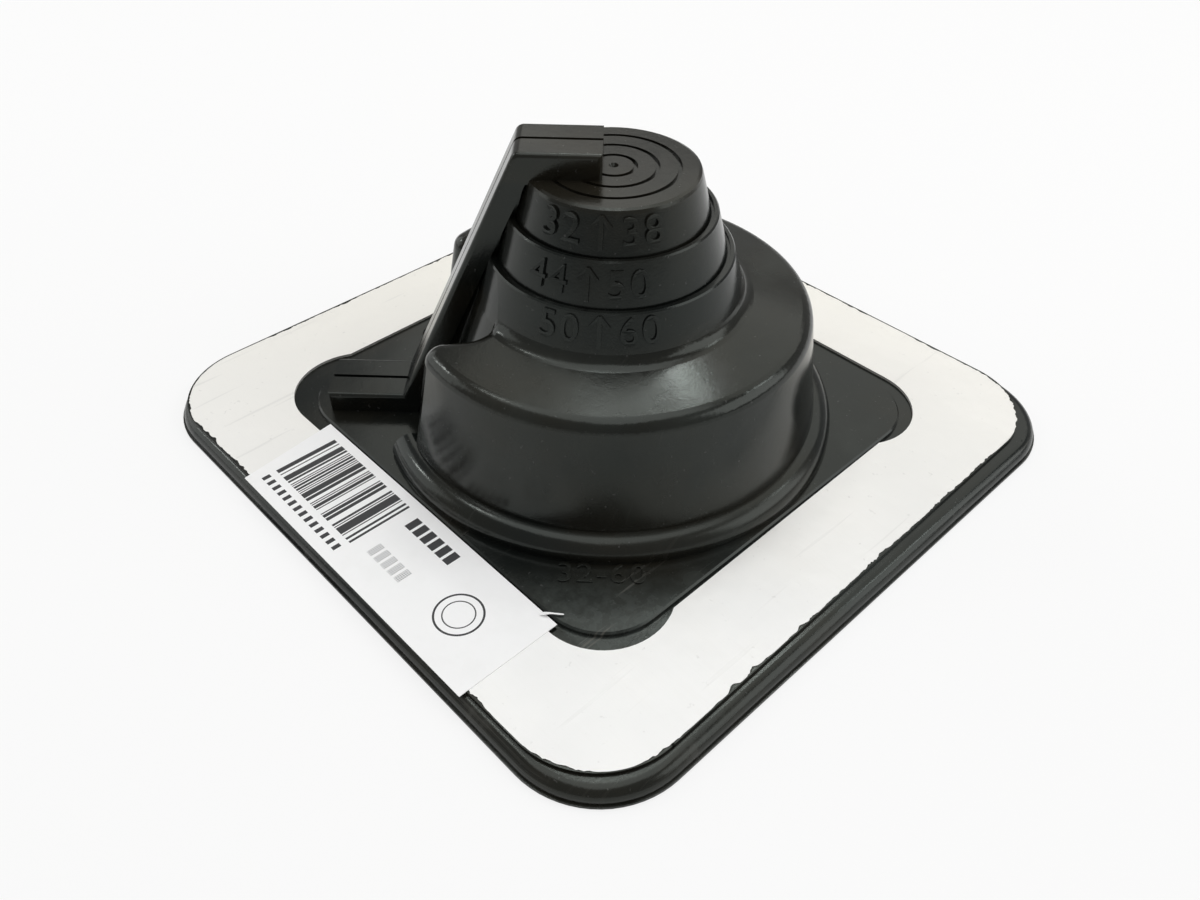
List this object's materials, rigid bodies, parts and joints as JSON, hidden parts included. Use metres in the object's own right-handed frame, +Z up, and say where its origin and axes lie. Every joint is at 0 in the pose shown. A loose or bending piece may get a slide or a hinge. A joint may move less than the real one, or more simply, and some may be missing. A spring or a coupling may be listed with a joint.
{
  "type": "pipe flashing boot",
  "caption": "Square rubber roof flashing with a raised drum and a stepped cone that seals round a pipe, a split seam rib down one side and a soft aluminium frame on its flange.",
  "frame": {"origin": "middle of the underside of the flange", "axes": "+Z up through the pipe axis, X and Y along the flange's edges, the split seam towards the corner at -X and -Y"},
  "size_m": [0.14, 0.14, 0.063],
  "materials": {
    "black_rubber": "semi-gloss",
    "soft_aluminium": "matte",
    "label_paper": "matte"
  },
  "bodies": {
    "root": {"rubber_boot": "black_rubber", "aluminium_frame": "soft_aluminium", "paper_label": "label_paper"}
  },
  "joints": []
}
